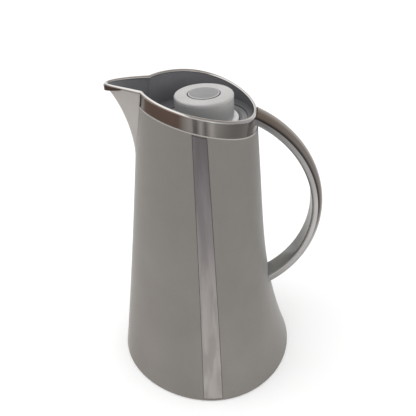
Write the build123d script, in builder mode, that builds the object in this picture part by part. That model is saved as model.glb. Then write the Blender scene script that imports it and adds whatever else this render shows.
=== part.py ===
"""Thermal vacuum jug with a push-button stopper, millimetres.

Origin: on the table, under the middle of the stopper and the flask.
+X points to the handle, -X to the spout, +Z up. The jug is a mirror image about Y = 0.
"""

from math import sqrt
import os

from build123d import *

# ---------------------------------------------------------------- driving sizes
FRONT_BASE = 97.2  # reach of the casing towards the spout at the table
FRONT_SLOPE = 0.169
FRONT_BEND = 0.00005
BACK_BASE = 58.3  # reach towards the handle, without the flare at the foot
BACK_SLOPE = 0.057
FLARE = 19.5
FLARE_TOP = 165.0
FLARE_POWER = 2.4
FRONT_FULLNESS = (0.53, 0.47)  # Bezier handle share at the foot and at the rim
BACK_FULLNESS = 0.5523  # a quarter of an ellipse
FORM_HEIGHTS = (-4, 16, 40, 72, 112, 160, 210, 256, 300)

RIM_CENTRE = (-77.0, -5.0)  # the rim follows an arc about this line along Y
RIM_RADIUS = 292.0
BEAD_DROP = 1.9  # depth of the rim bead below the rim arc
BAND_DROP = 12.6  # bottom of the chrome band below the rim arc
CASING_BOTTOM = 0.8
CASING_WALL = 1.8
BAND_INSET = 0.6
COLLAR_OUT = 1.95
COLLAR_IN = 2.85
BEAD_OVERHANG = 0.2
FLOOR_TOP = 256.0
FLOOR_THICK = 2.5
COLLAR_HOLE_RADIUS = 35.6

BEAK_LOW = 222.0  # the beak grows out of the casing here
BEAK_TOP = 284.0
BEAK_HEIGHTS = (222, 226, 232, 240, 252, 268, 292)
CHANNEL_HEIGHTS = (252, 260, 270, 280, 292)
CREASE_CURVE = 0.0121  # the casing's front bows back from its centre line by this times Y squared
BEAK_HALF_WIDTH = 19.7
KEEL_START = 61.8
KEEL_CURVE = 214.0
TIP_REACH = 80.8
TIP_BLUNT = 3.0
LIP_OVERHANG = 0.8
SPOUT_WALL, CHANNEL_INSET = 1.1, 2.0
LIP_PLANE = ((-64.4, 284.6), (-82.5, 280.8))  # underside of the dark pouring lip

STRIP_TOP_X, STRIP_BOTTOM_X = 0.2, 3.0
STRIP_TOP_WIDTH, STRIP_BOTTOM_WIDTH = 10.3, 17.8
STRIP_BOTTOM, STRIP_TOP = 2.6, 270.0
STRIP_GROOVE = 0.45
STRIP_INSET, STRIP_THICK, RECESS_DEPTH = 0.15, 0.8, 1.0

HANDLE_CENTRE = (-2.0, 168.2)
HANDLE_IN, HANDLE_SIDE, HANDLE_CREST = 94.7, 99.9, 104.6
HANDLE_WIDTH = 22.4
HANDLE_EDGE_ROUND = 2.0
COVER_EDGE = 1.2
HANDLE_WALL = 2.2
HANDLE_SCREW_X, HANDLE_SCREW_Z = 53.2, 91.0
PARTING_GAP = 0.12
SCREW_HEAD_THICK = 2.0
HANDLE_SCREW_LENGTH = 12.0
HANDLE_SCREW_RADIUS, HANDLE_SCREW_HEAD_RADIUS = 1.25, 3.0

CAP_RADIUS = 24.5
CAP_BOTTOM, CAP_TOP = 255.6, 276.0
CAP_FACE_THICK = 3.0
BUTTON_RADIUS = 13.05
BUTTON_HOLE_RADIUS = 13.45
BUTTON_TOP = 276.9
SPRING_TOP = 274.2
SKIRT_BOTTOM = 268.6  # clears the deck by more than the 4 mm travel
STEM_RADIUS = 2.5
STEM_HOLE_RADIUS = 2.85
DECK_BOTTOM, DECK_TOP = 262.0, 264.0
PLUG_RADIUS = 26.5
SLEEVE_RADIUS = 18.5
PLUG_STEP = 244.2
PLUG_BORE = 16.5
PLUG_BOTTOM = 224.0
PLUG_TOP = 252.6
FLANGE_RADIUS = 28.3
NECK_RING_BORE = 27.0
SEAL_BORE, SEAL_RADIUS = 21.8, 21.4
GASKET_TOP = 242.0
FOOT_RADIUS = 12.0
SPIDER_BOTTOM, SPIDER_THICK = 238.0, 3.0
VALVE_RADIUS, VALVE_BOTTOM, VALVE_TOP = 15.0, 220.0, 222.8
VALVE_SEAL_BORE, VALVE_SEAL_RADIUS = 10.5, 14.6
STEM_BOTTOM = 217.0
NUT_BOTTOM, NUT_RADIUS = 217.4, 4.2
SKIRT_BORE, BOSS_FOR_STEM = 11.4, 4.0

FLASK_RADIUS = 43.0
FLASK_BOTTOM = 16.0
FLASK_SHOULDER = 222.0
FLASK_MOUTH = 240.0
FLASK_NECK = 24.0
GLASS = 1.5
VACUUM_GAP = 3.5
NECK_GAP = 2.0
FOOT_GAP = 6.0
OUTER_BENDS = (32.0, 17.0, 1.6)  # foot, shoulder and neck
VESSEL_BENDS = (27.0, 13.0, 3.0)
SPACER_HEIGHT, SPACER_RADIUS = 70.0, 4.0

PLATE_BOTTOM, PLATE_TOP = 1.3, 3.8
PAD_RADIUS, PAD_TOP = 52.0, 2.4
PAD_CENTRE_X = -8.0
SCREW_PLACES = ((-8, 66), (-8, -66), (-76, 0), (50, 0))
CUP_RADIUS = 26.0
SCREW_RADIUS, SCREW_HEAD_RADIUS, SCREW_HEAD_SINK = 1.6, 3.4, 1.2
BOSS_RADIUS, BOSS_TOP = 4.2, 20.0


# ---------------------------------------------------------------- the jug's form
def front_reach(z):
    return FRONT_BASE - FRONT_SLOPE * z + FRONT_BEND * z * z


def back_reach(z):
    flare = FLARE * (1 - z / FLARE_TOP) ** FLARE_POWER if z < FLARE_TOP else 0
    return BACK_BASE - BACK_SLOPE * z + flare


def half_width(z):
    return (front_reach(z) + back_reach(z)) / 2 * (1.006 + 0.00018 * z)


def widest_x(z):
    return -1.6 - 0.01 * z


def round_form(inset):
    """Solid of the rounded casing outline, drawn in by inset, taller than the jug."""
    with BuildPart() as form:
        for z in FORM_HEIGHTS:
            front = inset - front_reach(z)
            back = back_reach(z) - inset
            side = half_width(z) - inset
            mid = widest_x(z)
            share = z / FORM_HEIGHTS[-1]
            full = FRONT_FULLNESS[0] * (1 - share) + FRONT_FULLNESS[1] * share
            bow_front = full * (mid - front)
            bow_back = BACK_FULLNESS * (back - mid)
            with BuildSketch(Plane.XY.offset(z)):
                with BuildLine():
                    Bezier((back, 0), (back, BACK_FULLNESS * side), (mid + bow_back, side), (mid, side))
                    Bezier((mid, side), (mid - bow_front, side), (front, full * side), (front, 0))
                    Bezier((front, 0), (front, -full * side), (mid - bow_front, -side), (mid, -side))
                    Bezier((mid, -side), (mid + bow_back, -side), (back, -BACK_FULLNESS * side), (back, 0))
                make_face()
        loft()
    return form.part


def beak_face(z, crease_x, crease_y, reach, blunt):
    """Face at height z: a rounded point at x = -reach, with straight sides behind the crease."""
    point_x = -(reach + crease_x / 4) / 0.75
    with BuildSketch(Plane.XY.offset(z)) as outline:
        with BuildLine():
            Polyline((crease_x, crease_y), (-30, crease_y), (-30, -crease_y), (crease_x, -crease_y))
            Bezier((crease_x, -crease_y), (point_x, -blunt), (point_x, blunt), (crease_x, crease_y))
        make_face()
    return outline.sketch.face()


def beak_form(inset, heights):
    """Solid of the beak, which narrows and comes forward as it rises."""
    faces = []
    for z in heights:
        fall = max(0.0, (BEAK_TOP - z) / (BEAK_TOP - BEAK_LOW + 1.5))
        crease_y = BEAK_HALF_WIDTH * sqrt(1 - fall * fall)
        crease_x = CREASE_CURVE * crease_y**2 - front_reach(z)
        reach = KEEL_START + (z - BEAK_LOW - 2) ** 2 / KEEL_CURVE - inset
        blunt = crease_y * (0.04 + 0.5 * fall)
        faces.append(beak_face(z, crease_x, crease_y - 1.05 * inset, reach, blunt))
    with BuildPart() as form:
        loft(faces)
    return form.part


def tip_form(inset):
    """Upright prism of the rim's outline over the beak."""
    crease_x = CREASE_CURVE * BEAK_HALF_WIDTH**2 - front_reach(BEAK_TOP)
    face = beak_face(FLOOR_TOP + 14, crease_x, BEAK_HALF_WIDTH - 1.1 * inset, TIP_REACH - inset, TIP_BLUNT)
    with BuildPart() as form:
        extrude(face, amount=40)
    return form.part


def under_rim(drop):
    """Everything below the rim arc lowered by drop."""
    with BuildPart() as form:
        with BuildSketch(Plane.XZ):
            with Locations(RIM_CENTRE):
                Circle(RIM_RADIUS - drop)
        extrude(amount=120, both=True)
    return form.part


def slab(low, high):
    """Wide block between two heights."""
    with BuildPart() as form:
        with BuildSketch(Plane.XY.offset(low)):
            Rectangle(400, 300)
        extrude(amount=high - low)
    return form.part


def strip_prism(grow, low):
    """Tapered bar through the near side of the casing, wider by grow all round."""
    with BuildPart() as form:
        with BuildSketch(Plane.XZ):
            with BuildLine():
                top, bottom = STRIP_TOP_WIDTH / 2 + grow, STRIP_BOTTOM_WIDTH / 2 + grow
                Polyline(
                    (STRIP_BOTTOM_X - bottom, low),
                    (STRIP_BOTTOM_X + bottom, low),
                    (STRIP_TOP_X + top, STRIP_TOP),
                    (STRIP_TOP_X - top, STRIP_TOP),
                    close=True,
                )
            make_face()
        extrude(amount=120)
    return form.part


skin = round_form(0)
wall_inside = round_form(CASING_WALL)
band_outside = round_form(BAND_INSET)
collar_outside = round_form(COLLAR_OUT)
collar_inside = round_form(COLLAR_IN)
bead_outside = round_form(-BEAD_OVERHANG)
beak_outside = beak_form(0, BEAK_HEIGHTS)
beak_lining = beak_form(SPOUT_WALL, CHANNEL_HEIGHTS)
channel = beak_form(CHANNEL_INSET, CHANNEL_HEIGHTS)
tip_outside = tip_form(0)
tip_channel = tip_form(CHANNEL_INSET)
lip_outside = tip_form(-LIP_OVERHANG)
above_floor = slab(FLOOR_TOP, 320)
below_bead = under_rim(BEAD_DROP)
below_band = under_rim(BAND_DROP)
collar_zone = slab(FLOOR_TOP - FLOOR_THICK, 320)

pieces = []


def finish(piece, name):
    piece.part.label = name
    pieces.append(piece.part)


# ---------------------------------------------------------------- casing
near_recess = strip_prism(STRIP_GROOVE, STRIP_BOTTOM - STRIP_GROOVE)
near_bar = strip_prism(0, STRIP_BOTTOM)
recess_floor = round_form(RECESS_DEPTH)
strip_face = round_form(STRIP_INSET)
strip_back = round_form(STRIP_INSET + STRIP_THICK)
recess_limit = under_rim(BAND_DROP + 1.0)
strip_limit = under_rim(BAND_DROP + 2.0)

with BuildPart() as channel_cut:
    add(beak_lining)
    add(slab(FLOOR_TOP - FLOOR_THICK - 0.15, 320), mode=Mode.INTERSECT)

with BuildPart() as recess:
    add(near_recess)
    add(recess_limit, mode=Mode.INTERSECT)
    add(recess_floor, mode=Mode.SUBTRACT)
    mirror(about=Plane.XZ)

with BuildPart() as screw_bosses:
    with BuildSketch(Plane.XY.offset(PLATE_TOP + 0.1)):
        with Locations(*SCREW_PLACES):
            Circle(BOSS_RADIUS)
        with Locations((-8, 78), (-8, -78)):
            Rectangle(2, 22)
        with Locations((-88, 0), (63, 0)):
            Rectangle(22, 2)
    extrude(amount=BOSS_TOP - PLATE_TOP)
    add(recess_floor, mode=Mode.INTERSECT)
    with Locations(*[(x, y, PLATE_TOP + 0.1) for x, y in SCREW_PLACES]):
        Cylinder(SCREW_RADIUS, 12, align=(Align.CENTER, Align.CENTER, Align.MIN), mode=Mode.SUBTRACT)

with BuildPart() as handle_screw:
    with BuildSketch(Plane.YZ.offset(HANDLE_SCREW_X - SCREW_HEAD_THICK)):
        with Locations((0, HANDLE_SCREW_Z)):
            Circle(HANDLE_SCREW_HEAD_RADIUS)
    extrude(amount=SCREW_HEAD_THICK)
    with BuildSketch(Plane.YZ.offset(HANDLE_SCREW_X)):
        with Locations((0, HANDLE_SCREW_Z)):
            Circle(HANDLE_SCREW_RADIUS)
    extrude(amount=HANDLE_SCREW_LENGTH)

with BuildPart() as outer_casing:
    add(skin)
    add(below_band, mode=Mode.INTERSECT)
    add(wall_inside, mode=Mode.SUBTRACT)
    add(slab(-20, CASING_BOTTOM), mode=Mode.SUBTRACT)
    add(recess.part, mode=Mode.SUBTRACT)
    add(channel_cut.part, mode=Mode.SUBTRACT)
    add(screw_bosses.part)
    add(handle_screw.part, mode=Mode.SUBTRACT)
finish(outer_casing, "outer_casing")

with BuildPart() as strip:
    add(near_bar)
    add(strip_limit, mode=Mode.INTERSECT)
    add(strip_face, mode=Mode.INTERSECT)
    add(strip_back, mode=Mode.SUBTRACT)

with BuildPart() as side_strip_left:
    add(strip.part)
finish(side_strip_left, "side_strip_left")

with BuildPart() as side_strip_right:
    mirror(strip.part, about=Plane.XZ)
finish(side_strip_right, "side_strip_right")

# ---------------------------------------------------------------- rim, beak and collar
with BuildPart() as rim_outline:
    add(bead_outside)
    add(tip_outside)
with BuildPart() as rim_opening:
    add(collar_inside)
    add(tip_channel)

with BuildPart() as rim_bead:
    add(rim_outline.part)
    add(under_rim(0), mode=Mode.INTERSECT)
    add(below_bead, mode=Mode.SUBTRACT)
    add(rim_opening.part, mode=Mode.SUBTRACT)
finish(rim_bead, "rim_bead")

with BuildPart() as rim_band:
    add(band_outside)
    add(below_bead, mode=Mode.INTERSECT)
    add(below_band, mode=Mode.SUBTRACT)
    add(wall_inside, mode=Mode.SUBTRACT)
    add(beak_outside, mode=Mode.SUBTRACT)
finish(rim_band, "rim_band")

with BuildPart() as lip_slot:
    with BuildSketch(Plane.XZ):
        with BuildLine():
            (back_x, back_z), (front_x, front_z) = LIP_PLANE
            Polyline((back_x, back_z), (front_x, front_z), (front_x, 300), (back_x, 300), close=True)
        make_face()
    extrude(amount=40, both=True)

with BuildPart() as pour_lip:
    add(lip_outside)
    add(lip_slot.part, mode=Mode.INTERSECT)
    add(below_bead, mode=Mode.INTERSECT)
    add(beak_lining, mode=Mode.SUBTRACT)
finish(pour_lip, "pour_lip")

with BuildPart() as spout_beak:
    add(beak_outside)
    add(below_bead, mode=Mode.INTERSECT)
    add(lip_slot.part, mode=Mode.SUBTRACT)
    add(skin, mode=Mode.SUBTRACT)
    add(channel_cut.part, mode=Mode.SUBTRACT)
finish(spout_beak, "spout_beak")

with BuildPart() as neck_opening:
    with Locations((0, 0, FLOOR_TOP)):
        Cylinder(COLLAR_HOLE_RADIUS, 20)

with BuildPart() as bowl_hollow:
    add(collar_inside)
    add(above_floor, mode=Mode.INTERSECT)

with BuildPart() as channel_hollow:
    add(channel)
    add(above_floor, mode=Mode.INTERSECT)

with BuildPart() as channel_skin:
    add(beak_lining)
    add(collar_zone, mode=Mode.INTERSECT)
    add(below_bead, mode=Mode.INTERSECT)
    add(channel_hollow.part, mode=Mode.SUBTRACT)
    add(bowl_hollow.part, mode=Mode.SUBTRACT)
    add(neck_opening.part, mode=Mode.SUBTRACT)

with BuildPart() as inner_collar:
    add(collar_outside)
    add(collar_zone, mode=Mode.INTERSECT)
    add(below_bead, mode=Mode.INTERSECT)
    add(bowl_hollow.part, mode=Mode.SUBTRACT)
    add(neck_opening.part, mode=Mode.SUBTRACT)
    add(channel_hollow.part, mode=Mode.SUBTRACT)
    add(channel_skin.part)
finish(inner_collar, "inner_collar")

# ---------------------------------------------------------------- handle
centre_x, centre_z = HANDLE_CENTRE
handle_axis = Axis((centre_x, 0, centre_z), (0, 1, 0))
half_handle = HANDLE_WIDTH / 2

with BuildPart() as handle_keep_out:
    add(skin)
    add(slab(-20, centre_z), mode=Mode.INTERSECT)

with BuildPart() as band_keep_out:
    add(band_outside)
    add(slab(centre_z, 320), mode=Mode.INTERSECT)

with BuildPart() as rim_keep_out:
    add(round_form(-0.35))
    add(under_rim(BEAD_DROP + 0.15), mode=Mode.SUBTRACT)

with BuildPart() as handle_side:
    with BuildSketch(Plane.XZ.offset(-60)):
        with Locations((90, centre_z)):
            Rectangle(120, 260)
    extrude(amount=120)

with BuildPart() as end_blocks:
    with BuildSketch(Plane.XZ.offset(-30)):
        with Locations((48, 84), (48, 258)):
            Rectangle(44, 34)
    extrude(amount=60)

with BuildPart() as handle_hollow:
    with BuildSketch(Plane.XY.offset(centre_z)):
        with Locations((centre_x + (HANDLE_IN + HANDLE_CREST) / 2, 0)):
            Rectangle(HANDLE_CREST - HANDLE_IN - 2 * HANDLE_WALL, HANDLE_WIDTH - 2 * HANDLE_WALL)
    revolve(axis=handle_axis)
    add(end_blocks.part, mode=Mode.SUBTRACT)

with BuildPart() as handle_core:
    with BuildSketch(Plane.XY.offset(centre_z)) as core_section:
        with Locations((centre_x + (HANDLE_IN + HANDLE_SIDE) / 2, 0)):
            Rectangle(HANDLE_SIDE - HANDLE_IN, HANDLE_WIDTH)
        fillet(core_section.vertices().group_by(Axis.X)[0], radius=HANDLE_EDGE_ROUND)
    revolve(axis=handle_axis)
    add(handle_side.part, mode=Mode.INTERSECT)
    add(handle_keep_out.part, mode=Mode.SUBTRACT)
    add(band_keep_out.part, mode=Mode.SUBTRACT)
    add(rim_keep_out.part, mode=Mode.SUBTRACT)
    add(handle_hollow.part, mode=Mode.SUBTRACT)
    add(handle_screw.part, mode=Mode.SUBTRACT)
finish(handle_core, "handle_core")

with BuildPart() as handle_cover:
    with BuildSketch(Plane.XY.offset(centre_z)):
        with BuildLine():
            near_x = centre_x + HANDLE_SIDE + PARTING_GAP
            edge_x = centre_x + HANDLE_SIDE + COVER_EDGE
            Polyline(
                (edge_x, -half_handle), (near_x, -half_handle), (near_x, half_handle), (edge_x, half_handle)
            )
            crest_x = centre_x + HANDLE_CREST
            ThreePointArc((edge_x, half_handle), (crest_x, 0), (edge_x, -half_handle))
        make_face()
    revolve(axis=handle_axis)
    add(handle_side.part, mode=Mode.INTERSECT)
    add(handle_keep_out.part, mode=Mode.SUBTRACT)
    add(band_keep_out.part, mode=Mode.SUBTRACT)
    add(rim_keep_out.part, mode=Mode.SUBTRACT)
    add(handle_hollow.part, mode=Mode.SUBTRACT)
    add(handle_screw.part, mode=Mode.SUBTRACT)
finish(handle_cover, "handle_cover")

finish(handle_screw, "handle_screw")

# ---------------------------------------------------------------- foot
with BuildPart() as base_plate:
    add(round_form(CASING_WALL + 0.3))
    add(slab(PLATE_BOTTOM, PLATE_TOP), mode=Mode.INTERSECT)
    with BuildSketch(Plane.XY.offset(PLATE_TOP)):
        Circle(CUP_RADIUS + 2.5)
        Circle(CUP_RADIUS, mode=Mode.SUBTRACT)
    extrude(amount=11)
    with BuildSketch(Plane.XY.offset(PLATE_BOTTOM)):
        with Locations((PAD_CENTRE_X, 0)):
            Circle(PAD_RADIUS + 0.2)
    extrude(amount=PAD_TOP - PLATE_BOTTOM, mode=Mode.SUBTRACT)
    with Locations(*[(x, y, PLATE_TOP) for x, y in SCREW_PLACES]):
        Hole(SCREW_RADIUS + 0.2)
    with Locations(*[(x, y, PLATE_BOTTOM) for x, y in SCREW_PLACES]):
        Cylinder(SCREW_HEAD_RADIUS + 0.3, 2 * SCREW_HEAD_SINK, mode=Mode.SUBTRACT)
finish(base_plate, "base_plate")

with BuildPart() as base_pad:
    with BuildSketch(Plane.XY):
        with Locations((PAD_CENTRE_X, 0)):
            Circle(PAD_RADIUS)
    extrude(amount=PAD_TOP)
    chamfer(base_pad.faces().sort_by(Axis.Z)[0].edges(), length=0.5)
finish(base_pad, "base_pad")

with BuildPart() as base_screws:
    head_z = PLATE_BOTTOM + SCREW_HEAD_SINK
    with Locations(*[(x, y, head_z) for x, y in SCREW_PLACES]):
        Cylinder(SCREW_HEAD_RADIUS, 1.0, align=(Align.CENTER, Align.CENTER, Align.MAX))
        Cylinder(SCREW_RADIUS, 12, align=(Align.CENTER, Align.CENTER, Align.MIN))
finish(base_screws, "base_screws")

# ---------------------------------------------------------------- vacuum flask
def bottle(radius, bottom, shoulder, neck, mouth, bends):
    """Solid of revolution with a domed foot, a round shoulder and a straight neck."""
    with BuildPart() as form:
        with BuildSketch(Plane.XZ) as outline:
            with BuildLine():
                Polyline(
                    (0, bottom), (radius, bottom), (radius, shoulder), (neck, shoulder), (neck, mouth),
                    (0, mouth),
                    close=True,
                )
            make_face()
            for corner, bend in zip(((radius, bottom), (radius, shoulder), (neck, shoulder)), bends):
                fillet(outline.vertices().sort_by_distance(corner)[0], radius=bend)
        revolve(axis=Axis.Z)
    return form.part


def inner_bends(bends):
    """Bends of the inside of a wall of even thickness: foot, shoulder and neck."""
    foot, shoulder, neck = bends
    return foot - GLASS, shoulder - GLASS, neck + GLASS


vessel_radius = FLASK_RADIUS - GLASS - VACUUM_GAP
vessel_neck = FLASK_NECK - GLASS - NECK_GAP
wall_top = FLASK_MOUTH - GLASS
vessel_bottom = FLASK_BOTTOM + FOOT_GAP
vessel_shoulder = FLASK_SHOULDER - GLASS - VACUUM_GAP
above_mouth = FLASK_MOUTH + 5
outer_shape = bottle(FLASK_RADIUS, FLASK_BOTTOM, FLASK_SHOULDER, FLASK_NECK, wall_top, OUTER_BENDS)
outer_void = bottle(
    FLASK_RADIUS - GLASS, FLASK_BOTTOM + GLASS, FLASK_SHOULDER - GLASS, FLASK_NECK - GLASS, above_mouth,
    inner_bends(OUTER_BENDS),
)
vessel_shape = bottle(vessel_radius, vessel_bottom, vessel_shoulder, vessel_neck, FLASK_MOUTH, VESSEL_BENDS)
vessel_void = bottle(
    vessel_radius - GLASS, vessel_bottom + GLASS, vessel_shoulder - GLASS, vessel_neck - GLASS, above_mouth,
    inner_bends(VESSEL_BENDS),
)

with BuildPart() as flask_outer:
    add(outer_shape)
    with Locations((0, 0, FLASK_BOTTOM + 1)):
        Cone(1.2, 3.2, 7, align=(Align.CENTER, Align.CENTER, Align.MAX))
    add(outer_void, mode=Mode.SUBTRACT)
finish(flask_outer, "flask_outer")

with BuildPart() as flask_inner:
    add(vessel_shape)
    with Locations((0, 0, wall_top)):
        Cylinder(FLASK_NECK, GLASS, align=(Align.CENTER, Align.CENTER, Align.MIN))
    add(vessel_void, mode=Mode.SUBTRACT)
finish(flask_inner, "flask_inner")

with BuildPart() as flask_spacers:
    for angle in (60, 180, 300):
        with BuildSketch(Plane.YZ.rotated((0, 0, angle)).offset(vessel_radius + 0.12)):
            with Locations((0, SPACER_HEIGHT)):
                Circle(SPACER_RADIUS)
        extrude(amount=VACUUM_GAP - 0.4)
finish(flask_spacers, "flask_spacers")

with BuildPart() as flask_cushion:
    with Locations((0, 0, PLATE_TOP + 0.1)):
        Cylinder(CUP_RADIUS - 0.2, 15, align=(Align.CENTER, Align.CENTER, Align.MIN))
        Cylinder(6, 15, align=(Align.CENTER, Align.CENTER, Align.MIN), mode=Mode.SUBTRACT)
    add(outer_shape, mode=Mode.SUBTRACT)
finish(flask_cushion, "flask_cushion")

with BuildPart() as shoulder_ring:
    with BuildSketch(Plane.XY.offset(FLASK_SHOULDER - 14)):
        Circle(FLASK_NECK + 17.5)
        Circle(FLASK_NECK + 7, mode=Mode.SUBTRACT)
    extrude(amount=18)
    add(outer_shape, mode=Mode.SUBTRACT)
finish(shoulder_ring, "shoulder_ring")


def turned_ring(piece_points):
    """Ring turned about the jug's axis from its half section."""
    with BuildPart() as form:
        with BuildSketch(Plane.XZ):
            with BuildLine():
                Polyline(*piece_points, close=True)
            make_face()
        revolve(axis=Axis.Z)
    return form


neck_gasket = turned_ring([
    (SEAL_BORE, FLASK_MOUTH), (26.6, FLASK_MOUTH), (26.6, GASKET_TOP), (SEAL_BORE, GASKET_TOP),
])
finish(neck_gasket, "neck_gasket")

neck_ring = turned_ring([
    (SEAL_BORE, GASKET_TOP), (NECK_RING_BORE, GASKET_TOP), (NECK_RING_BORE, 234.0), (30.5, 234.0),
    (30.5, 250.4), (37.6, 250.4), (37.6, 253.4), (35.3, 253.4), (35.3, 255.0), (31.0, 255.0),
    (29.0, 253.0), (29.0, 251.8), (NECK_RING_BORE, 251.8), (NECK_RING_BORE, 244.0), (SEAL_BORE, 244.0),
])
finish(neck_ring, "neck_ring")

# ---------------------------------------------------------------- stopper
stopper_gasket = turned_ring([
    (18.7, FLASK_MOUTH), (SEAL_RADIUS, FLASK_MOUTH), (SEAL_RADIUS, PLUG_STEP), (18.7, PLUG_STEP),
])
finish(stopper_gasket, "stopper_gasket")

with BuildPart() as stopper_plug:
    with BuildSketch(Plane.XZ):
        with BuildLine():
            Polyline(
                (FOOT_RADIUS, PLUG_BOTTOM), (SLEEVE_RADIUS, PLUG_BOTTOM), (SLEEVE_RADIUS, PLUG_STEP),
                (PLUG_RADIUS, PLUG_STEP), (PLUG_RADIUS, PLUG_TOP), (PLUG_BORE, PLUG_TOP),
                (PLUG_BORE, PLUG_BOTTOM + 2), (FOOT_RADIUS, PLUG_BOTTOM + 2),
                close=True,
            )
        make_face()
    revolve(axis=Axis.Z)
    with BuildSketch(Plane.XY.offset(SPIDER_BOTTOM)):
        Rectangle(2 * PLUG_BORE + 1, 5)
        Circle(5)
        Circle(STEM_HOLE_RADIUS, mode=Mode.SUBTRACT)
    extrude(amount=SPIDER_THICK)
finish(stopper_plug, "stopper_plug")

with BuildPart() as stopper_flange:
    with BuildSketch(Plane.XY.offset(PLUG_TOP)):
        Circle(FLANGE_RADIUS)
        Circle(PLUG_BORE, mode=Mode.SUBTRACT)
    extrude(amount=CAP_BOTTOM - PLUG_TOP)
    chamfer(stopper_flange.faces().sort_by(Axis.Z)[-1].edges().sort_by(SortBy.RADIUS)[-1], length=0.6)
finish(stopper_flange, "stopper_flange")

with BuildPart() as stopper_cap:
    face_bottom = CAP_TOP - CAP_FACE_THICK
    with BuildSketch(Plane.XZ):
        with BuildLine():
            inside = CAP_RADIUS - 2
            Polyline(
                (inside, CAP_BOTTOM), (CAP_RADIUS, CAP_BOTTOM), (CAP_RADIUS, face_bottom),
                (inside, face_bottom),
                (inside, DECK_TOP), (STEM_HOLE_RADIUS, DECK_TOP), (STEM_HOLE_RADIUS, DECK_BOTTOM),
                (inside, DECK_BOTTOM),
                close=True,
            )
        make_face()
    revolve(axis=Axis.Z)
    with Locations((-CAP_RADIUS, 0, CAP_BOTTOM)):
        Box(12, 18, 4.4, align=(Align.CENTER, Align.CENTER, Align.MIN), mode=Mode.SUBTRACT)
finish(stopper_cap, "stopper_cap")

with BuildPart() as stopper_face:
    with BuildSketch(Plane.XY.offset(face_bottom)):
        Circle(CAP_RADIUS)
        Circle(BUTTON_HOLE_RADIUS, mode=Mode.SUBTRACT)
    extrude(amount=CAP_FACE_THICK)
    rim_edges = stopper_face.faces().sort_by(Axis.Z)[-1].edges().sort_by(SortBy.RADIUS)
    fillet(rim_edges[-1], radius=1.6)
    fillet(rim_edges[0], radius=0.4)
finish(stopper_face, "stopper_face")

with BuildPart() as button_spring:
    with BuildLine():
        coil = Helix(pitch=2.3, height=9.2, radius=7, center=(0, 0, DECK_TOP + 0.5))
    with BuildSketch(coil ^ 0):
        Circle(0.45)
    sweep(is_frenet=True)
finish(button_spring, "button_spring")

# ---------------------------------------------------------------- push button and valve
under_crown = SPRING_TOP + 0.2
stem_fit = STEM_RADIUS + 0.05

with BuildPart() as push_button:
    with BuildSketch(Plane.XZ):
        with BuildLine():
            crown = BUTTON_TOP - 0.9
            Polyline(
                (0, BUTTON_TOP), (0, under_crown), (SKIRT_BORE, under_crown), (SKIRT_BORE, SKIRT_BOTTOM),
                (BUTTON_RADIUS, SKIRT_BOTTOM), (BUTTON_RADIUS, crown),
            )
            brow = (BUTTON_RADIUS - 0.9, crown + 0.6)
            ThreePointArc((BUTTON_RADIUS, crown), (BUTTON_RADIUS - 0.3, crown + 0.5), brow)
            Spline(brow, (0, BUTTON_TOP), tangents=((-1, 0.06), (-1, 0)))
        make_face()
    revolve(axis=Axis.Z)
finish(push_button, "push_button")

with BuildPart() as valve_stem:
    with Locations((0, 0, STEM_BOTTOM)):
        Cylinder(STEM_RADIUS, under_crown - STEM_BOTTOM, align=(Align.CENTER, Align.CENTER, Align.MIN))
    with Locations((0, 0, SKIRT_BOTTOM)):
        Cylinder(BOSS_FOR_STEM, under_crown - SKIRT_BOTTOM, align=(Align.CENTER, Align.CENTER, Align.MIN))
finish(valve_stem, "valve_stem")

valve_disc = turned_ring([
    (stem_fit, VALVE_BOTTOM), (VALVE_RADIUS - 1, VALVE_BOTTOM), (VALVE_RADIUS, VALVE_BOTTOM + 1),
    (VALVE_RADIUS, VALVE_TOP), (stem_fit, VALVE_TOP),
])
finish(valve_disc, "valve_disc")

valve_gasket = turned_ring([
    (VALVE_SEAL_BORE, VALVE_TOP), (VALVE_SEAL_RADIUS, VALVE_TOP), (VALVE_SEAL_RADIUS, PLUG_BOTTOM),
    (VALVE_SEAL_BORE, PLUG_BOTTOM),
])
finish(valve_gasket, "valve_gasket")

with BuildPart() as stem_nut:
    with BuildSketch(Plane.XY.offset(NUT_BOTTOM)):
        RegularPolygon(NUT_RADIUS, 6)
        Circle(stem_fit, mode=Mode.SUBTRACT)
    extrude(amount=VALVE_BOTTOM - NUT_BOTTOM)
finish(stem_nut, "stem_nut")

# ---------------------------------------------------------------- one file a piece
os.makedirs("parts", exist_ok=True)
for piece in pieces:
    export_step(piece, f"parts/{piece.label}.step")
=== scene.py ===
"""Looks for the thermal vacuum jug: a finish for every CAD piece, a rounded rim bead, a button spring
coil, and a plain studio."""
import math

import bmesh
import bpy
from mathutils import Matrix, Vector


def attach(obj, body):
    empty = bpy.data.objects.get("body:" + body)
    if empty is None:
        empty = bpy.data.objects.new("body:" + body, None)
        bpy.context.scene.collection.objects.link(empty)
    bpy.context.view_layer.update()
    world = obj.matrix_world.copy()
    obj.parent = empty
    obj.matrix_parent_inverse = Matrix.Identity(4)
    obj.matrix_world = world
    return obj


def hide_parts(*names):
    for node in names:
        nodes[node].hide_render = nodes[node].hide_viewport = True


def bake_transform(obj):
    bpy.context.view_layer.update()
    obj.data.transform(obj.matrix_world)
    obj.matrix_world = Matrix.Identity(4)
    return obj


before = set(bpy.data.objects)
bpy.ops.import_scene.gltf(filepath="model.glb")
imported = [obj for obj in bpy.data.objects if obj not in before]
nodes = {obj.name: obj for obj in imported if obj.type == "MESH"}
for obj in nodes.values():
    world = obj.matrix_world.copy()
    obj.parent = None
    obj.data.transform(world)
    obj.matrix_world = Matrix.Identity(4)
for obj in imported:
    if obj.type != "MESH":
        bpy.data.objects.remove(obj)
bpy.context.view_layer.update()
MM = 0.001

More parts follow.
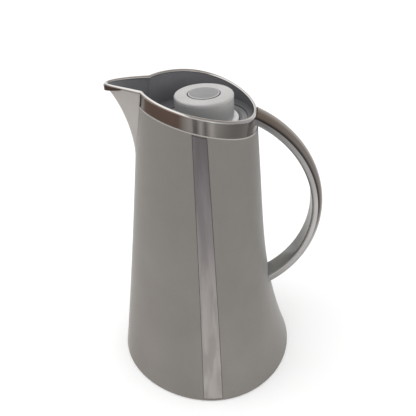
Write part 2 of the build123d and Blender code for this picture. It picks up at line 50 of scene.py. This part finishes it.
# Sizes in millimetres are the ones the CAD is made with.
RIM_X, RIM_Z, RIM_RADIUS = -77.0, -5.0, 292.0  # the rim follows an arc about a line along Y
BAND_DROP = 12.6  # bottom of the chrome band below the rim arc
HANDLE_X, HANDLE_Z = -2.0, 168.2


# ---------------------------------------------------------------- node helpers
def srgb(*values):
    """Linear colour from 0 to 255 display values."""
    return tuple(v / 255 / 12.92 if v <= 10 else ((v / 255 + 0.055) / 1.055) ** 2.4 for v in values)


def even(value):
    """Neutral colour of one value, for a multiplier."""
    return value, value, value


class Nodes:
    """Adds and joins shader nodes in one tree."""

    def __init__(self, tree):
        self.tree = tree
        tree.nodes.clear()

    def add(self, kind, **settings):
        node = self.tree.nodes.new(kind)
        for key, value in settings.items():
            setattr(node, key, value)
        return node

    def join(self, source, target):
        self.tree.links.new(source, target)

    def feed(self, sockets, values):
        """Gives each socket its number or its colour, or joins it to the output that feeds it."""
        for socket, value in zip(sockets, values):
            if isinstance(value, (int, float)):
                socket.default_value = value
            elif isinstance(value, tuple):
                socket.default_value = (*value, 1.0)
            else:
                self.join(value, socket)

    def ranged(self, source, low, high, to_low=0.0, to_high=1.0, smooth=False):
        kind = "SMOOTHSTEP" if smooth else "LINEAR"
        node = self.add("ShaderNodeMapRange", interpolation_type=kind)
        sockets = (node.inputs[key] for key in ("Value", "From Min", "From Max", "To Min", "To Max"))
        self.feed(sockets, (source, low, high, to_low, to_high))
        return node.outputs["Result"]

    def maths(self, operation, *values):
        node = self.add("ShaderNodeMath", operation=operation)
        self.feed(node.inputs, values)
        return node.outputs["Value"]

    def length(self, a, b):
        squares = self.maths("MULTIPLY", a, a), self.maths("MULTIPLY", b, b)
        return self.maths("SQRT", self.maths("ADD", *squares))

    def ramp(self, source, *stops):
        node = self.add("ShaderNodeValToRGB")
        elements = node.color_ramp.elements
        while len(elements) < len(stops):
            elements.new(0.5)
        for element, (at, colour) in zip(elements, stops):
            element.position = at
            element.color = (*colour, 1.0)
        self.join(source, node.inputs["Fac"])
        return node.outputs["Color"]

    def mix(self, share, a, b, blend="MIX"):
        node = self.add("ShaderNodeMix", data_type="RGBA", blend_type=blend)
        self.feed((node.inputs[key] for key in ("Factor", "A", "B")), (share, a, b))
        return node.outputs["Result"]

    def multiply(self, a, b):
        return self.mix(1.0, a, b, "MULTIPLY")


class Finish(Nodes):
    """A material built from nodes, in object coordinates measured in metres."""

    def __init__(self, name):
        self.material = bpy.data.materials.new(name)
        self.material.use_nodes = True
        super().__init__(self.material.node_tree)
        self.shader = self.add("ShaderNodeBsdfPrincipled")
        output = self.add("ShaderNodeOutputMaterial")
        self.join(self.shader.outputs["BSDF"], output.inputs["Surface"])
        self.place = self.add("ShaderNodeTexCoord").outputs["Object"]
        self.normal = None

    def set(self, **values):
        for key, value in values.items():
            self.shader.inputs[key.replace("_", " ").title()].default_value = value
        return self

    def noise(self, scale, detail=2.0, stretch=(1, 1, 1), roughness=0.5):
        """Noise whose features are 1/scale metres across, from 0 to 1."""
        mapping = self.add("ShaderNodeMapping")
        mapping.inputs["Scale"].default_value = stretch
        self.join(self.place, mapping.inputs["Vector"])
        node = self.add("ShaderNodeTexNoise")
        sockets = (node.inputs[key] for key in ("Scale", "Detail", "Roughness"))
        self.feed(sockets, (scale, detail, roughness))
        self.join(mapping.outputs["Vector"], node.inputs["Vector"])
        return node.outputs["Fac"]

    def clouded(self, scale, detail, low, high):
        """Colour that drifts between low and high."""
        return self.ramp(self.noise(scale, detail), (0.35, low), (0.65, high))

    def along(self, axis):
        node = self.add("ShaderNodeSeparateXYZ")
        self.join(self.place, node.inputs["Vector"])
        return node.outputs[axis]

    def from_centre(self, axis, centre):
        """Distance along an axis from a centre given in millimetres."""
        return self.maths("SUBTRACT", self.along(axis), centre * MM)

    def colour(self, source):
        self.join(source, self.shader.inputs["Base Color"])

    def rough(self, source, low, high):
        self.join(self.ranged(source, 0.3, 0.7, low, high), self.shader.inputs["Roughness"])

    def bump(self, source, depth, strength=1.0):
        """Raises the surface by depth metres where source is 1. Bumps stack."""
        node = self.add("ShaderNodeBump")
        sockets = (node.inputs[key] for key in ("Strength", "Distance", "Height"))
        self.feed(sockets, (strength, depth, source))
        if self.normal is not None:
            self.join(self.normal, node.inputs["Normal"])
        self.normal = node.outputs["Normal"]
        self.join(self.normal, self.shader.inputs["Normal"])

    def plated(self, low, high):
        """Roughness and faint waviness of a plated surface."""
        self.rough(self.noise(45, detail=5), low, high)
        self.bump(self.noise(420, detail=2), depth=0.000004)
        self.bump(self.noise(26, detail=1), depth=0.00006, strength=0.3)


# ---------------------------------------------------------------- finishes
EDGE_HIGHLIGHT_SPAN = (0.8, 0.35, 0.1)  # the casing's painted edge highlight: where it starts, is full and ends, from the band
EDGE_HIGHLIGHT_SHARE = 0.5


def casing_finish():
    """Matt grey, with painted light: lighter towards the foot and darker towards the band, and a painted
    highlight along the edge just under the band.
    """
    f = Finish("casing_matt_grey")
    cloud = f.noise(14, detail=3)
    foot = f.ramp(cloud, (0.3, srgb(119, 115, 110)), (0.7, srgb(129, 125, 120)))
    # Painted light: the grey darkens from the foot up towards the band.
    tone = f.mix(f.ranged(f.along("Z"), 0.05, 0.25, 0.0, 0.7), foot, srgb(115, 112, 107))
    # Painted highlight: a light line along the casing's top edge, just under the band.
    arc = f.length(f.from_centre("X", RIM_X), f.from_centre("Z", RIM_Z))
    edge = RIM_RADIUS - BAND_DROP
    starts, full, ends = EDGE_HIGHLIGHT_SPAN
    under = f.ranged(arc, (edge - starts) * MM, (edge - full) * MM)
    over = f.ranged(arc, edge * MM, (edge + ends) * MM, 1.0, 0.0)
    line = f.maths("MULTIPLY", f.maths("MULTIPLY", under, over), EDGE_HIGHLIGHT_SHARE)
    tone = f.mix(line, tone, srgb(205, 202, 199))
    speck = f.ramp(f.noise(2600, detail=1), (0.42, even(0.93)), (0.62, even(1.05)))
    f.colour(f.multiply(tone, speck))
    f.rough(f.noise(60, detail=4), 0.42, 0.52)
    f.bump(f.noise(1900, detail=2), depth=0.00003)
    f.bump(f.noise(9, detail=1), depth=0.0006, strength=0.25)
    return f.set(metallic=0.0, sheen_weight=0.36, sheen_roughness=0.35).material


def strip_finish():
    """Streaked grey, with painted shade that darkens it towards the rim."""
    f = Finish("strip_grey")
    streak = f.noise(160, detail=4, stretch=(1, 1, 0.02))
    height = f.ranged(f.along("Z"), 0.01, 0.262)
    # Painted shade: the grey darkens from the foot up to the rim, under the band.
    tone = f.ramp(
        height, (0.0, srgb(164, 159, 154)), (0.35, srgb(156, 151, 148)), (0.75, srgb(122, 117, 118)),
        (1.0, srgb(103, 99, 101)),
    )
    f.colour(f.multiply(tone, f.ramp(streak, (0.4, even(0.86)), (0.6, even(1.08)))))
    f.rough(streak, 0.3, 0.42)
    f.bump(streak, depth=0.00004)
    return f.set(metallic=0.25).material


def chrome_finish(name, low, high, roughness):
    f = Finish(name)
    f.colour(f.clouded(12, 2, low, high))
    f.plated(roughness * 0.7, roughness * 1.5)
    return f.set(metallic=1.0).material


HANDLE_SPAN = (0.094, 0.106)  # metres from the handle's centre: from its inner face to its crest


def handle_finish():
    """Plated shell: light on its sides, with painted reflections and shade: a greyer inner face, lighter
    at its lower end, a dark parting line (a real gap widened by painted shade), a darker brown-grey crest
    in its upper half, and darker towards the top."""
    f = Finish("handle_chrome")
    z = f.from_centre("Z", HANDLE_Z)
    at = f.ranged(f.length(f.from_centre("X", HANDLE_X), z), *HANDLE_SPAN)
    # Painted reflection and shade across the width: the inner face greyer, the parting line a real gap
    # widened by painted shade, the crest darker brown-grey.
    upper = f.ramp(
        at, (0.0, srgb(148, 148, 146)), (0.075, srgb(150, 149, 147)), (0.13, srgb(232, 232, 231)),
        (0.47, srgb(236, 236, 235)), (0.5, srgb(70, 66, 65)), (0.56, srgb(96, 90, 88)),
        (0.68, srgb(222, 211, 203)), (1.0, srgb(214, 203, 195)),
    )
    # Painted shade: the inner face greys from its lighter lower end upwards.
    inner = f.mix(f.ranged(z, -0.078, -0.045), srgb(206, 208, 205), srgb(122, 122, 120))
    side = f.ramp(at, (0.1, srgb(232, 232, 231)), (0.5, srgb(224, 224, 223)), (1.0, srgb(236, 235, 234)))
    lower = f.mix(f.ranged(at, 0.08, 0.13), inner, side)
    tone = f.mix(f.ranged(z, -0.035, 0.005), lower, upper)
    # Painted shade: the whole handle darkens towards its top.
    height = f.ranged(z, -0.1, 0.08)
    painted_shade_by_height = f.ramp(height, (0.0, even(1.0)), (0.4, even(0.96)), (0.68, even(0.72)), (1.0, even(0.68)))
    drift = f.clouded(14, 2, even(0.94), even(1.03))
    f.colour(f.multiply(f.multiply(tone, painted_shade_by_height), drift))
    f.join(f.ranged(at, 0.08, 0.13, 0.5, 1.0), f.shader.inputs["Metallic"])
    f.plated(0.1, 0.2)
    return f.material


def plastic_finish(name, low, high, rough, grain=1500, depth=0.00002, coat=0.0):
    f = Finish(name)
    speck = f.ramp(f.noise(grain, detail=1), (0.4, even(0.95)), (0.6, even(1.04)))
    f.colour(f.multiply(f.clouded(24, 3, low, high), speck))
    f.rough(f.noise(90, detail=4), *rough)
    f.bump(f.noise(grain, detail=2), depth)
    return f.set(coat_weight=coat).material


def turned_finish(name, low, high, rough, metallic):
    """Plastic or metal with faint turning lines round the upright axis."""
    f = Finish(name)
    lines = f.noise(60, detail=6, stretch=(0.15, 0.15, 60), roughness=0.7)
    f.colour(f.ramp(lines, (0.35, low), (0.65, high)))
    f.rough(lines, *rough)
    f.bump(lines, depth=0.00003)
    return f.set(metallic=metallic).material


RING_SPAN = 0.025  # metres from the axis to the end of the ramp that holds the painted highlight and shade rings


def speckled_finish(name, low, high, rough, rings):
    """Fine flakes, with rings of painted highlight and painted shade at given distances in metres from the
    upright axis.
    """
    f = Finish(name)
    flakes = f.noise(3200, detail=1)
    radius = f.length(f.along("X"), f.along("Y"))
    # Painted highlight and painted shade: rings of brighter and darker colour round the upright axis.
    painted_light_rings = f.ramp(f.ranged(radius, 0.0, RING_SPAN), *((at / RING_SPAN, even(v)) for at, v in rings))
    glint = f.ramp(flakes, (0.3, even(0.8)), (0.5, even(1.0)), (0.72, even(1.18)))
    f.colour(f.multiply(f.multiply(f.clouded(40, 2, low, high), painted_light_rings), glint))
    f.rough(f.noise(900, detail=2), *rough)
    f.bump(flakes, depth=0.00002)
    return f.set(metallic=0.1).material


def fibre_finish(name, low, high):
    f = Finish(name)
    fibres = f.noise(700, detail=5, stretch=(1, 1, 0.3), roughness=0.75)
    f.colour(f.ramp(fibres, (0.35, low), (0.7, high)))
    f.rough(fibres, 0.85, 0.98)
    f.bump(fibres, depth=0.0002)
    return f.material


casing = casing_finish()
strip = strip_finish()
bead = chrome_finish("bead_bright_chrome", srgb(238, 237, 235), srgb(250, 249, 247), 0.12)
band = chrome_finish("band_chrome", srgb(150, 146, 142), srgb(176, 172, 168), 0.13)
silvered = chrome_finish("flask_silvered", srgb(214, 214, 212), srgb(232, 232, 230), 0.05)
handle = handle_finish()
beak = plastic_finish("beak_satin", srgb(152, 148, 145), srgb(161, 157, 153), (0.28, 0.36), grain=2200)
lip = plastic_finish("lip_dark_gloss", srgb(38, 30, 26), srgb(58, 46, 40), (0.12, 0.2), coat=0.5)
collar = plastic_finish(
    "collar_dark_gloss", srgb(106, 106, 109), srgb(116, 116, 119), (0.28, 0.36), 900, 0.000006
)
neck = plastic_finish("neck_grey", srgb(132, 131, 133), srgb(146, 145, 147), (0.2, 0.3))
black = plastic_finish("base_black", srgb(36, 36, 37), srgb(48, 48, 49), (0.5, 0.62), 1200, 0.00004)
rubber = plastic_finish("pad_rubber", srgb(30, 30, 31), srgb(42, 41, 41), (0.75, 0.9), 900, 0.00008)
soft_grey = plastic_finish(
    "cushion_rubber", srgb(150, 150, 146), srgb(168, 167, 162), (0.7, 0.85), 700, 0.00008
)
silicone = plastic_finish(
    "gasket_silicone", srgb(222, 220, 212), srgb(234, 232, 226), (0.35, 0.5), 800, 0.00002
)
white = plastic_finish("plug_white", srgb(221, 221, 218), srgb(232, 232, 229), (0.25, 0.36), 1400, 0.00001)
flange = plastic_finish(
    "flange_white", srgb(238, 236, 236), srgb(247, 245, 245), (0.2, 0.3), 1400, 0.00001
)
# Painted shade: a dark ring round the button hole; the outer edge is a little darker.
face = speckled_finish(
    "stopper_face_silver", srgb(188, 187, 186), srgb(198, 197, 196), (0.3, 0.42),
    ((0.0134, 0.3), (0.0138, 0.5), (0.0142, 1.0), (0.0236, 1.0), (0.0245, 0.9)),
)
# Painted highlight: a bright ring at the button's edge, with painted shade in the gap just outside it.
button = speckled_finish(
    "button_satin_grey", srgb(139, 138, 139), srgb(147, 146, 146), (0.3, 0.4),
    ((0.0, 1.0), (0.0119, 1.0), (0.0124, 1.9), (0.0129, 1.9), (0.01305, 0.5)),
)
cap = turned_finish("cap_turned_grey", srgb(176, 175, 174), srgb(198, 197, 196), (0.3, 0.42), 0.4)
steel = turned_finish("steel", srgb(176, 176, 176), srgb(204, 204, 203), (0.22, 0.35), 1.0)
felt = fibre_finish("spacer_felt", srgb(150, 144, 136), srgb(196, 190, 182))

FINISHES = {
    "outer_casing": casing, "side_strip_left": strip, "side_strip_right": strip, "rim_bead": bead,
    "rim_band": band, "pour_lip": lip, "spout_beak": beak, "inner_collar": collar,
    "handle_core": handle, "handle_cover": handle, "handle_screw": steel, "base_plate": black,
    "base_pad": rubber, "base_screws": steel, "flask_outer": silvered, "flask_inner": silvered,
    "flask_spacers": felt, "flask_cushion": soft_grey, "shoulder_ring": soft_grey,
    "neck_gasket": silicone, "neck_ring": neck, "stopper_gasket": silicone, "stopper_plug": white,
    "stopper_flange": flange, "stopper_cap": cap, "stopper_face": face, "button_spring": steel,
    "push_button": button, "valve_stem": white, "valve_disc": white, "valve_gasket": silicone,
    "stem_nut": white,
}
for name, node in nodes.items():
    slots = node.data.materials
    for index in range(len(slots)):
        slots[index] = FINISHES[name]


# ---------------------------------------------------------------- new pieces
def smooth_piece(name, shape, material):
    """Object made from a bmesh, smooth all over."""
    bmesh.ops.recalc_face_normals(shape, faces=shape.faces)
    mesh = bpy.data.meshes.new(name)
    shape.to_mesh(mesh)
    shape.free()
    mesh.polygons.foreach_set("use_smooth", [True] * len(mesh.polygons))
    mesh.materials.append(material)
    piece = bpy.data.objects.new(name, mesh)
    bpy.context.scene.collection.objects.link(piece)
    return piece


# ---------------------------------------------------------------- rim bead
BEAD_DROP = 1.9
BEAD_OUT, BEAD_IN = -0.2, 2.85  # insets of the bead's two walls
BEAD_FLATTEN = 0.8  # below 1, the rounded top is fuller than half an ellipse
BEAD_STEPS = 10
FRONT_BASE, FRONT_SLOPE, FRONT_BEND = 97.2, 0.169, 0.00005
BACK_BASE, BACK_SLOPE = 58.3, 0.057
SIDE_SHARE, SIDE_SLOPE = 1.006, 0.00018
WIDEST_X, WIDEST_LEAN = -1.6, -0.01
FOOT_FULLNESS, TOP_FULLNESS, FORM_TOP = 0.53, 0.47, 300  # Bezier share at the foot and at the top
BACK_FULLNESS = 0.5523  # a quarter of an ellipse
TIP_REACH, TIP_BLUNT = 80.8, 3.0
CREASE_Y, CREASE_SHIFT = 19.7, 1.1
HEIGHT_GUESS, HEIGHT_ROUNDS = 275.0, 4
SEARCH_ROUNDS = 30
RIM_STEPS = 26  # along each quarter


def front_reach(z):
    return FRONT_BASE - FRONT_SLOPE * z + FRONT_BEND * z * z


def back_reach(z):
    return BACK_BASE - BACK_SLOPE * z


def half_width(z):
    return (front_reach(z) + back_reach(z)) / 2 * (SIDE_SHARE + SIDE_SLOPE * z)


def rim_height(x):
    return RIM_Z + math.sqrt(RIM_RADIUS**2 - (x - RIM_X) ** 2)


def bezier(points, t):
    a, b, c, d = (Vector(p) for p in points)
    s = 1 - t
    return a * s**3 + b * 3 * s * s * t + c * 3 * s * t * t + d * t**3


def body_point(quarter, t, inset):
    """Point of the rim's round part in millimetres: quarter 0 runs back to side, 1 runs side to front."""
    z = HEIGHT_GUESS
    for _ in range(HEIGHT_ROUNDS):
        front, back, side = inset - front_reach(z), back_reach(z) - inset, half_width(z) - inset
        mid = WIDEST_X + WIDEST_LEAN * z
        full = FOOT_FULLNESS + (TOP_FULLNESS - FOOT_FULLNESS) * z / FORM_TOP
        if quarter == 0:
            bow = BACK_FULLNESS * (back - mid)
            point = bezier(((back, 0), (back, BACK_FULLNESS * side), (mid + bow, side), (mid, side)), t)
        else:
            bow = full * (mid - front)
            point = bezier(((mid, side), (mid - bow, side), (front, full * side), (front, 0)), t)
        z = rim_height(point.x)
    return point


def rim_line(inset):
    """Half of the rim's outline from the back round to the tip, on the positive Y side."""
    crease_y = CREASE_Y - CREASE_SHIFT * inset
    low, high = 0.0, 1.0
    for _ in range(SEARCH_ROUNDS):
        middle = (low + high) / 2
        if body_point(1, middle, inset).y > crease_y:
            low = middle
        else:
            high = middle
    line = [body_point(0, i / RIM_STEPS, inset) for i in range(RIM_STEPS)]
    line += [body_point(1, low * i / RIM_STEPS, inset) for i in range(RIM_STEPS)]
    start = body_point(1, low, inset)
    # Halfway along a Bezier curve like this, x is 1/4 of its ends' x and 3/4 of its inner points' x.
    point_x = -(TIP_REACH - inset + start.x / 4) / 0.75
    curve = ((start.x, start.y), (point_x, TIP_BLUNT), (point_x, -TIP_BLUNT), (start.x, -start.y))
    line += [bezier(curve, 0.5 * i / RIM_STEPS) for i in range(RIM_STEPS + 1)]
    return line


def rim_bead():
    """The bead as one smooth loop with a rounded top."""
    shape = bmesh.new()
    rows = []
    for step in range(BEAD_STEPS + 1):
        angle = math.pi * step / BEAD_STEPS
        share = (1 - math.cos(angle)) / 2
        inset = BEAD_OUT + share * (BEAD_IN - BEAD_OUT)
        drop = BEAD_DROP * (1 - math.sin(angle) ** BEAD_FLATTEN)
        half = [(p.x, p.y, rim_height(p.x) - drop) for p in rim_line(inset)]
        line = half + [(x, -y, z) for x, y, z in reversed(half[1:-1])]
        rows.append([shape.verts.new(Vector(p) * MM) for p in line])
    around = len(rows[0])
    for a, b in zip(rows, rows[1:] + rows[:1]):
        for i in range(around):
            j = (i + 1) % around
            shape.faces.new((a[i], a[j], b[j], b[i]))
    piece = smooth_piece("rim_bead_round", shape, bead)
    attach(piece, "jug")
    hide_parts("rim_bead")


rim_bead()

# ---------------------------------------------------------------- button spring
SPRING_TURNS, SPRING_RADIUS, SPRING_WIRE = 4, 7.0, 0.44  # wire: its radius
SPRING_FOOT, SPRING_HEIGHT = 264.5, 9.2
STEPS_A_TURN, WIRE_SIDES = 32, 10


def button_spring():
    """The coil under the button."""
    shape = bmesh.new()
    steps = SPRING_TURNS * STEPS_A_TURN
    climb = SPRING_HEIGHT / (2 * math.pi * SPRING_TURNS * SPRING_RADIUS)
    angles = [2 * math.pi * k / WIRE_SIDES for k in range(WIRE_SIDES)]
    rings = []
    for i in range(steps + 1):
        turn = 2 * math.pi * SPRING_TURNS * i / steps
        outward = Vector((math.cos(turn), math.sin(turn), 0))
        onward = Vector((-math.sin(turn), math.cos(turn), climb)).normalized()
        over = outward.cross(onward)
        centre = outward * SPRING_RADIUS + Vector((0, 0, SPRING_FOOT + SPRING_HEIGHT * i / steps))
        points = (centre + SPRING_WIRE * (math.cos(a) * outward + math.sin(a) * over) for a in angles)
        rings.append([shape.verts.new(point * MM) for point in points])
    for a, b in zip(rings, rings[1:]):
        for k in range(WIRE_SIDES):
            after = (k + 1) % WIRE_SIDES
            shape.faces.new((a[k], a[after], b[after], b[k]))
    shape.faces.new(rings[0])
    shape.faces.new(rings[-1])
    piece = smooth_piece("button_spring_coil", shape, steel)
    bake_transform(piece)
    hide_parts("button_spring")


button_spring()

# ---------------------------------------------------------------- studio
WORLD_LIGHT = 1.06
PURE_WHITE = (1.0, 1.0, 1.0, 1.0)
BROWN = (0.24, 0.175, 0.15)
GREY = (0.44, 0.435, 0.43)
DARK = (0.13, 0.125, 0.13)
PALE = (0.85, 0.83, 0.82)
# Colours of the room that shiny surfaces see, from the left (0) to the right (1).
ROOM_FRONT = (
    (0.0, BROWN), (0.17, BROWN), (0.24, (0.42, 0.38, 0.36)), (0.31, (0.56, 0.53, 0.51)),
    (0.38, (0.68, 0.66, 0.65)), (0.44, (0.45, 0.44, 0.43)), (0.5, DARK), (0.54, (0.5, 0.49, 0.48)),
    (0.58, PALE), (0.62, (0.52, 0.5, 0.5)), (0.66, (0.2, 0.19, 0.19)), (0.7, (0.5, 0.49, 0.48)),
    (0.76, PALE), (0.82, (0.55, 0.54, 0.53)), (0.9, GREY), (1.0, (0.3, 0.3, 0.3)),
)
ROOM_REAR = (
    (0.0, (0.8, 0.79, 0.77)), (0.5, (0.7, 0.69, 0.68)), (0.8, (0.6, 0.59, 0.58)),
    (0.92, (0.24, 0.24, 0.25)), (1.0, (0.2, 0.2, 0.21)),
)
ROOM_CEILING = (
    (0.0, (0.95, 0.95, 0.95)), (0.43, (0.92, 0.91, 0.9)), (0.48, (0.55, 0.53, 0.52)),
    (0.56, (0.34, 0.31, 0.29)), (1.0, (0.24, 0.21, 0.19)),
)
REAR_FROM, REAR_FULL = 0.35, 0.7
CEILING_FROM, CEILING_FULL = 0.05, 0.75


def studio_world():
    """White light for surfaces, and a darker room with a light ceiling for what shines."""
    world = bpy.data.worlds.new("studio")
    bpy.context.scene.world = world
    world.use_nodes = True
    w = Nodes(world.node_tree)
    way = w.add("ShaderNodeSeparateXYZ")
    w.join(w.add("ShaderNodeTexCoord").outputs["Generated"], way.inputs["Vector"])
    x, y, z = way.outputs["X"], way.outputs["Y"], way.outputs["Z"]
    sideways = w.maths("MULTIPLY_ADD", w.maths("DIVIDE", x, w.length(x, y)), 0.5, 0.5)
    front, rear = w.ramp(sideways, *ROOM_FRONT), w.ramp(sideways, *ROOM_REAR)
    walls = w.mix(w.ranged(y, REAR_FROM, REAR_FULL, smooth=True), front, rear)
    lift = w.ranged(z, CEILING_FROM, CEILING_FULL, smooth=True)
    room = w.mix(lift, walls, w.ramp(sideways, *ROOM_CEILING))
    shiny, plain, sky = (w.add("ShaderNodeBackground") for _ in range(3))
    w.join(room, shiny.inputs["Color"])
    plain.inputs["Color"].default_value = PURE_WHITE
    plain.inputs["Strength"].default_value = WORLD_LIGHT
    sky.inputs["Color"].default_value = PURE_WHITE
    rays = w.add("ShaderNodeLightPath").outputs
    lit, seen = w.add("ShaderNodeMixShader"), w.add("ShaderNodeMixShader")
    w.feed(lit.inputs, (rays["Is Glossy Ray"], plain.outputs[0], shiny.outputs[0]))
    w.feed(seen.inputs, (rays["Is Camera Ray"], lit.outputs[0], sky.outputs[0]))
    w.join(seen.outputs[0], w.add("ShaderNodeOutputWorld").inputs["Surface"])


def area_light(name, place, target, power):
    """A square light of one metre that shiny surfaces don't mirror."""
    data = bpy.data.lights.new(name, "AREA")
    data.size = 1.0
    data.energy = power
    light = bpy.data.objects.new(name, data)
    light.location = place
    light.rotation_euler = (Vector(target) - Vector(place)).to_track_quat("-Z", "Y").to_euler()
    light.visible_glossy = False
    bpy.context.scene.collection.objects.link(light)


FLOOR_SQUARES, FLOOR_HALF, FLOOR_Z = 40, 3.0, -0.0002


def pale_floor():
    mesh = bpy.data.meshes.new("floor")
    shape = bmesh.new()
    bmesh.ops.create_grid(shape, x_segments=FLOOR_SQUARES, y_segments=FLOOR_SQUARES, size=FLOOR_HALF)
    shape.to_mesh(mesh)
    shape.free()
    pale = Finish("floor_pale")
    pale.colour(pale.ramp(pale.noise(3, detail=2), (0.3, even(0.96)), (0.7, even(0.98))))
    pale.set(roughness=0.8, emission_color=PURE_WHITE, emission_strength=0.05)
    mesh.materials.append(pale.material)
    floor = bpy.data.objects.new("floor", mesh)
    bpy.context.scene.collection.objects.link(floor)
    floor.location.z = FLOOR_Z
    floor.visible_glossy = False


studio_world()
area_light("left_light", (-0.9, -0.1, 0.55), (0, 0, 0.15), 2.6)
area_light("right_light", (0.9, -0.2, 0.3), (0, 0, 0.12), 1.3)
pale_floor()

# ---------------------------------------------------------------- camera
CAMERA_PLACE = (0.04026, -0.40172, 0.42970)
YAW, PITCH, ROLL = (math.radians(a) for a in (5.92, 33.29, 3.0))
LENS, SENSOR = 45.0, 36.0

across = Vector((math.cos(YAW), math.sin(YAW), 0))
ahead = Vector((-math.sin(YAW), math.cos(YAW), 0))
up = Vector((0, 0, 1))
sight = math.cos(PITCH) * ahead - math.sin(PITCH) * up
down = -(math.sin(PITCH) * ahead + math.cos(PITCH) * up)
right = math.cos(ROLL) * across + math.sin(ROLL) * down
below = -math.sin(ROLL) * across + math.cos(ROLL) * down
turned = Matrix((right, -below, -sight)).transposed().to_4x4()

camera = bpy.data.objects.new("camera", bpy.data.cameras.new("camera"))
camera.data.lens = LENS
camera.data.sensor_width = SENSOR
camera.matrix_world = Matrix.Translation(CAMERA_PLACE) @ turned
bpy.context.scene.collection.objects.link(camera)
bpy.context.scene.camera = camera
bpy.context.scene.view_settings.view_transform = "Standard"
